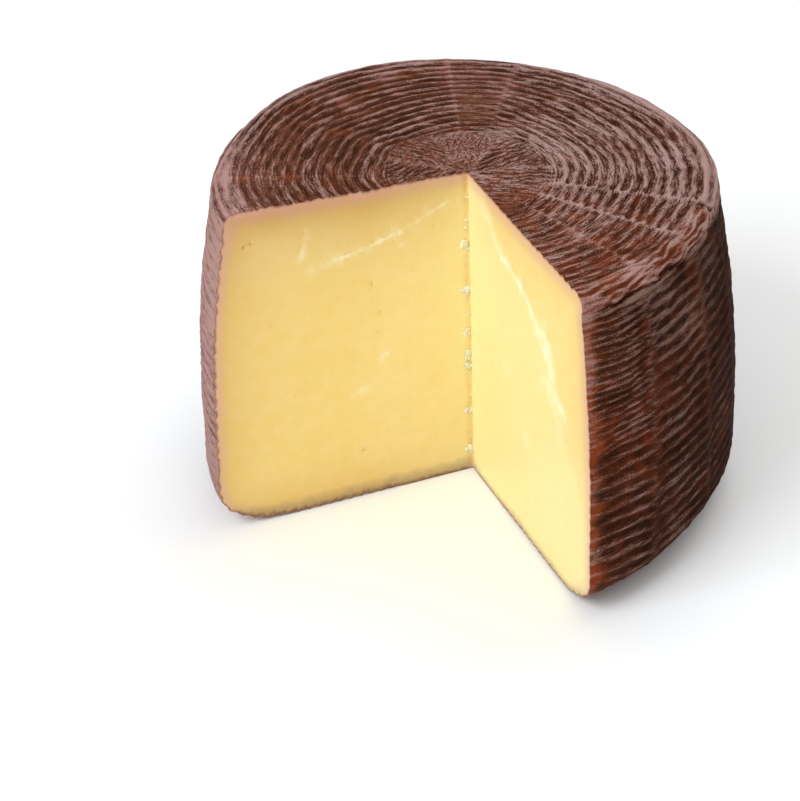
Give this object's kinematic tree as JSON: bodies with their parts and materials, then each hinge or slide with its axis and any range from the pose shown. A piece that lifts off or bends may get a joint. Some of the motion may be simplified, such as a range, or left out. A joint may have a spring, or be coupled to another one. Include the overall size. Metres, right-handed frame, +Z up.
{
  "type": "wine-aged sheep and goat cheese wheel",
  "caption": "Basket-pressed cheese wheel with a wine-dark ridged rind, cut open by a quarter so that the pale paste shows; stands on its flat base.",
  "frame": {"origin": "middle of the base's bounding box, on the plane that the wheel stands on", "axes": "+Z up along the wheel's axis; the missing quarter lies between -X and -Y, so one cut face looks along -Y and the other along -X"},
  "size_m": [0.2011, 0.2062, 0.1341],
  "materials": {
    "rind": "wine-stained basket-pressed rind, dark brown-red grooves and thin pale mauve bloom on the ridges, dull with a faint waxy sheen",
    "paste": "knife-cut firm paste, pale golden yellow, softly translucent, satin"
  },
  "bodies": {
    "root": {"cheese_wheel": "rind"}
  },
  "joints": []
}
